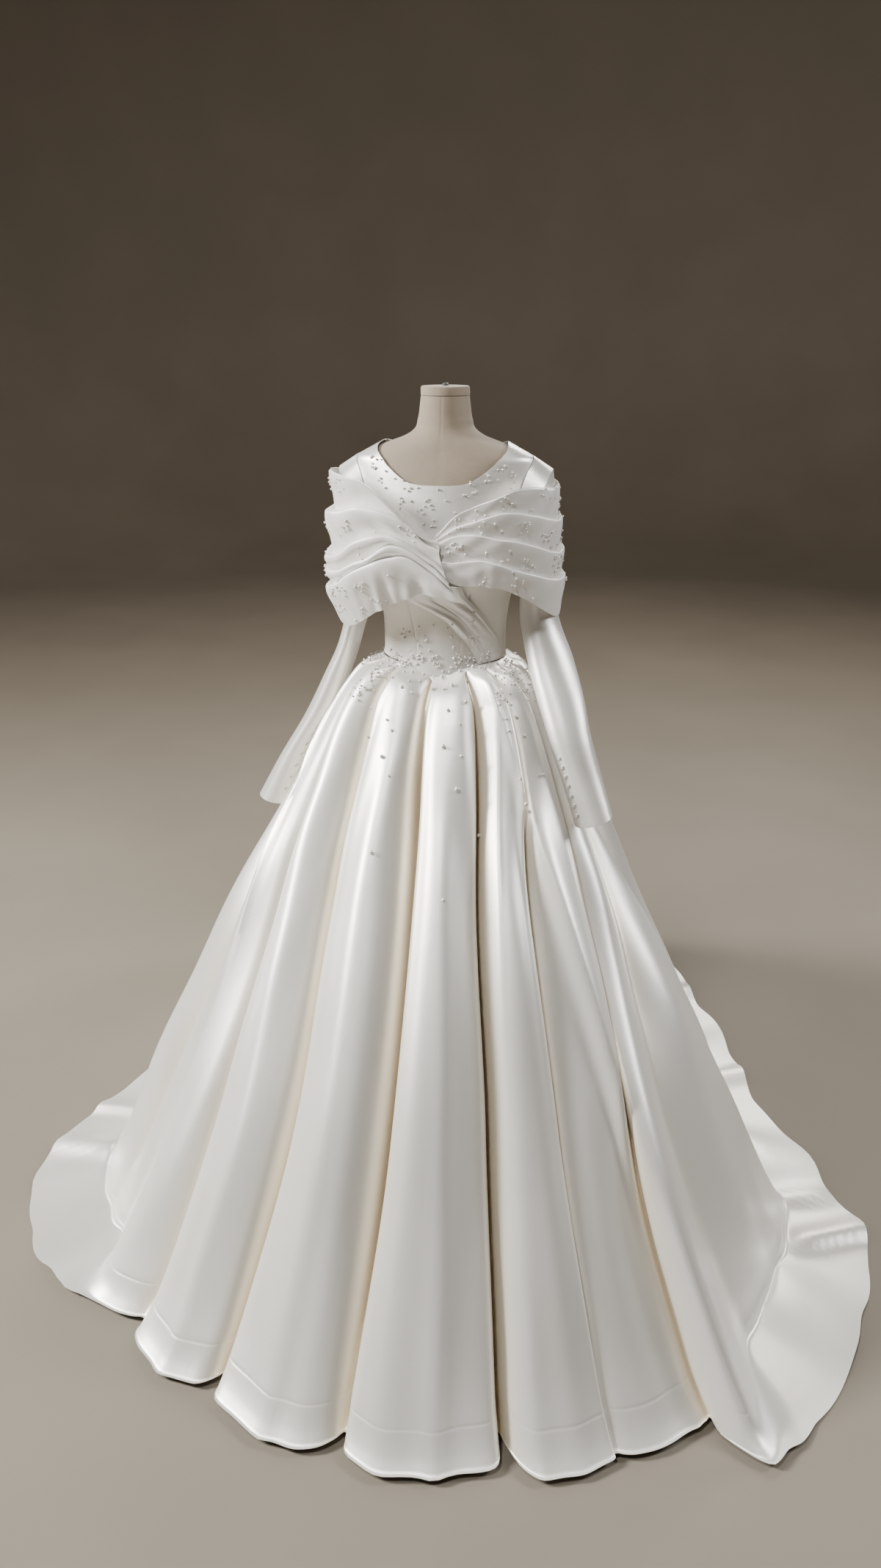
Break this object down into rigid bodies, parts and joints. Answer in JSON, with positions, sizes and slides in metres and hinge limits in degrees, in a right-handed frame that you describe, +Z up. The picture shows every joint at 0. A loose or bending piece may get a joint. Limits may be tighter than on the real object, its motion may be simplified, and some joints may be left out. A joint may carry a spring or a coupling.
{
  "type": "wedding dress on a dress form",
  "caption": "Long satin wedding dress with a crossed shoulder wrap, long sleeves and a pleated skirt with a train, worn by a limbless dress form on a round stand.",
  "frame": {"origin": "on the floor under the axis of the dress form, at the centre of the stand's base", "axes": "-Y is the front of the dress, +X is the right of someone looking at the front, +Z is up"},
  "size_m": [1.7764, 1.9971, 1.638],
  "materials": {
    "satin": "heavy white bridal satin with a soft broad sheen",
    "wrap_satin": "lighter satin with a fine cross rib",
    "button_satin": "satin covered buttons",
    "form_linen": "matt beige linen",
    "stand_metal": "dark satin paint"
  },
  "bodies": {
    "root": {"skirt_back_left": "satin", "skirt_side_left": "satin", "skirt_front_left": "satin", "skirt_centre_front": "satin", "skirt_front_right": "satin", "skirt_side_right": "satin", "skirt_back_right": "satin", "bodice_centre_front": "satin", "bodice_side_front_right": "satin", "bodice_side_front_left": "satin", "bodice_back_right": "satin", "bodice_back_left": "satin", "sleeve_right": "satin", "sleeve_left": "satin", "wrap_right": "wrap_satin", "wrap_left": "wrap_satin", "wrap_tail": "wrap_satin", "cuff_button_right_1": "button_satin", "cuff_button_right_2": "button_satin", "cuff_button_right_3": "button_satin", "cuff_button_right_4": "button_satin", "cuff_button_right_5": "button_satin", "cuff_button_right_6": "button_satin", "cuff_button_right_7": "button_satin", "cuff_button_left_1": "button_satin", "cuff_button_left_2": "button_satin", "cuff_button_left_3": "button_satin", "cuff_button_left_4": "button_satin", "cuff_button_left_5": "button_satin", "cuff_button_left_6": "button_satin", "cuff_button_left_7": "button_satin", "back_button_1": "button_satin", "back_button_2": "button_satin", "back_button_3": "button_satin", "back_button_4": "button_satin", "back_button_5": "button_satin", "back_button_6": "button_satin", "form_body": "form_linen", "form_neck_cap": "form_linen", "form_neck_knob": "stand_metal", "form_pole": "stand_metal", "form_base": "stand_metal"}
  },
  "joints": []
}
